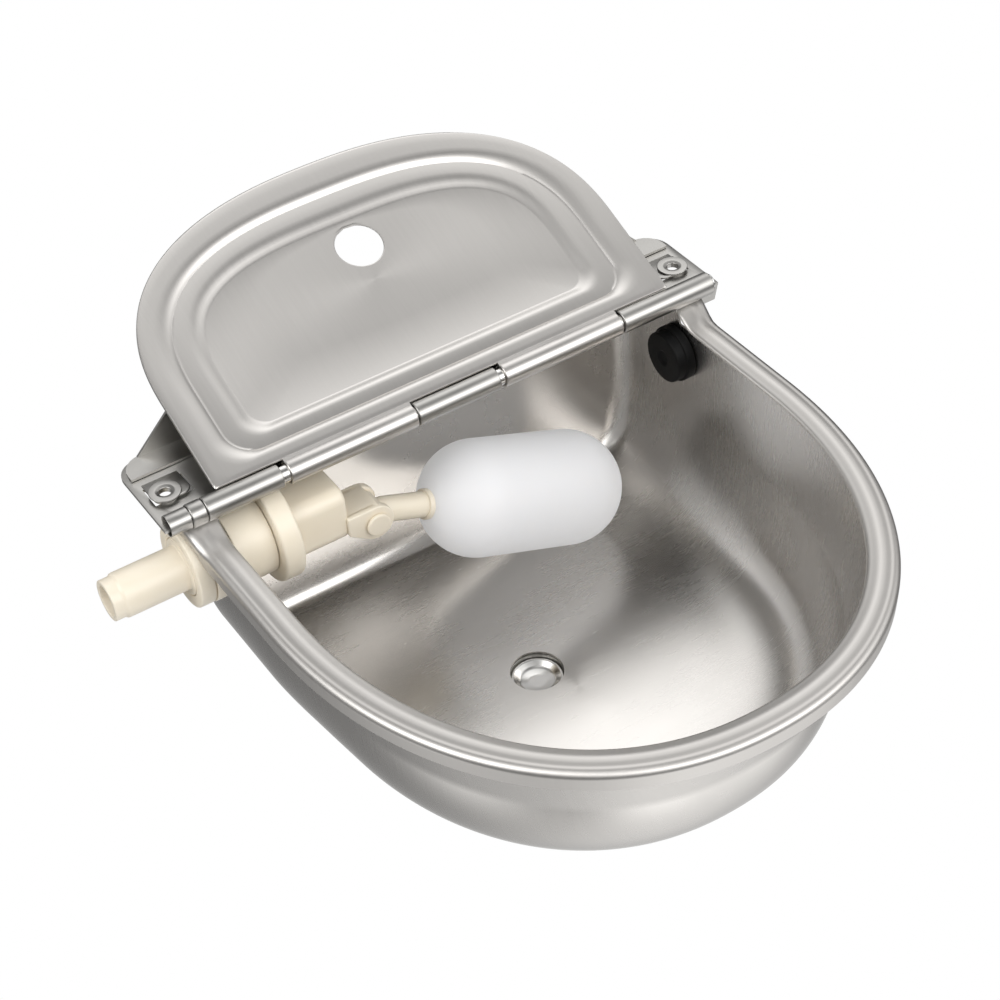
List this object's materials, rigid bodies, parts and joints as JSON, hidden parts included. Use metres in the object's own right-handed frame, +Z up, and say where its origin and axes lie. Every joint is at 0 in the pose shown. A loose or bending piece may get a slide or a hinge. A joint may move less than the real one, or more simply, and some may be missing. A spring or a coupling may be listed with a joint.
{
  "type": "livestock drinking bowl",
  "caption": "Wall-hung stainless drinking bowl with a rolled rim, a hinged lid with a finger hole, a float valve in its side wall, a rubber blanking plug and a drain.",
  "frame": {"origin": "middle of the lid hinge axis, with the lid open and the float hanging as in the picture", "axes": "+X along the hinge from the valve side to the plugged side, +Y back towards the wall, +Z up"},
  "size_m": [0.3103, 0.3479, 0.1809],
  "materials": {
    "pan_steel": "satin drawn stainless",
    "plate_steel": "satin stainless sheet",
    "lid_steel": "satin pressed stainless sheet",
    "bright_steel": "polished",
    "ivory_plastic": "moulded, satin gloss",
    "float_plastic": "milky, slightly see-through",
    "black_rubber": "matt"
  },
  "bodies": {
    "bowl": {"bowl_pan": "pan_steel", "bracket_plate": "plate_steel", "wall_plate": "plate_steel", "hinge_rod": "bright_steel", "ear_nut_left": "bright_steel", "ear_nut_right": "bright_steel", "valve_body": "ivory_plastic", "outer_lock_nut": "ivory_plastic", "outer_washer": "ivory_plastic", "inner_gasket": "black_rubber", "clamp_ring": "ivory_plastic", "valve_head": "ivory_plastic", "pivot_pin": "ivory_plastic", "drain_socket": "plate_steel", "drain_gasket": "black_rubber"},
    "lid": {"lid": "lid_steel"},
    "lever": {"lever_arm": "ivory_plastic", "float": "float_plastic"},
    "plunger": {"plunger": "ivory_plastic", "plunger_seal": "black_rubber"},
    "drain_plug": {"drain_plug": "bright_steel"},
    "rubber_plug": {"rubber_plug": "black_rubber"}
  },
  "joints": [
    {"name": "lid_hinge", "type": "hinge", "parent": "bowl", "child": "lid", "pos_m": [0, 0, 0], "axis": [1, 0, 0], "range_deg": [0, 157]},
    {"name": "float_pivot", "type": "hinge", "parent": "bowl", "child": "lever", "pos_m": [-0.05, -0.0008, -0.0388], "axis": [0, -1, 0], "range_deg": [0, 21]},
    {"name": "plunger_slide", "type": "slide", "parent": "bowl", "child": "plunger", "axis": [-1, 0, 0], "range_m": [0, 0.0018]},
    {"name": "drain_plug_pull", "type": "slide", "parent": "bowl", "child": "drain_plug", "axis": [0, 0, -1], "range_m": [0, 0.04]},
    {"name": "rubber_plug_pull", "type": "slide", "parent": "bowl", "child": "rubber_plug", "axis": [-1, 0, 0], "range_m": [0, 0.011]}
  ],
  "couplings": [
    {"joint": "plunger_slide", "follows": "float_pivot", "m_per_rad": 0.0049}
  ]
}
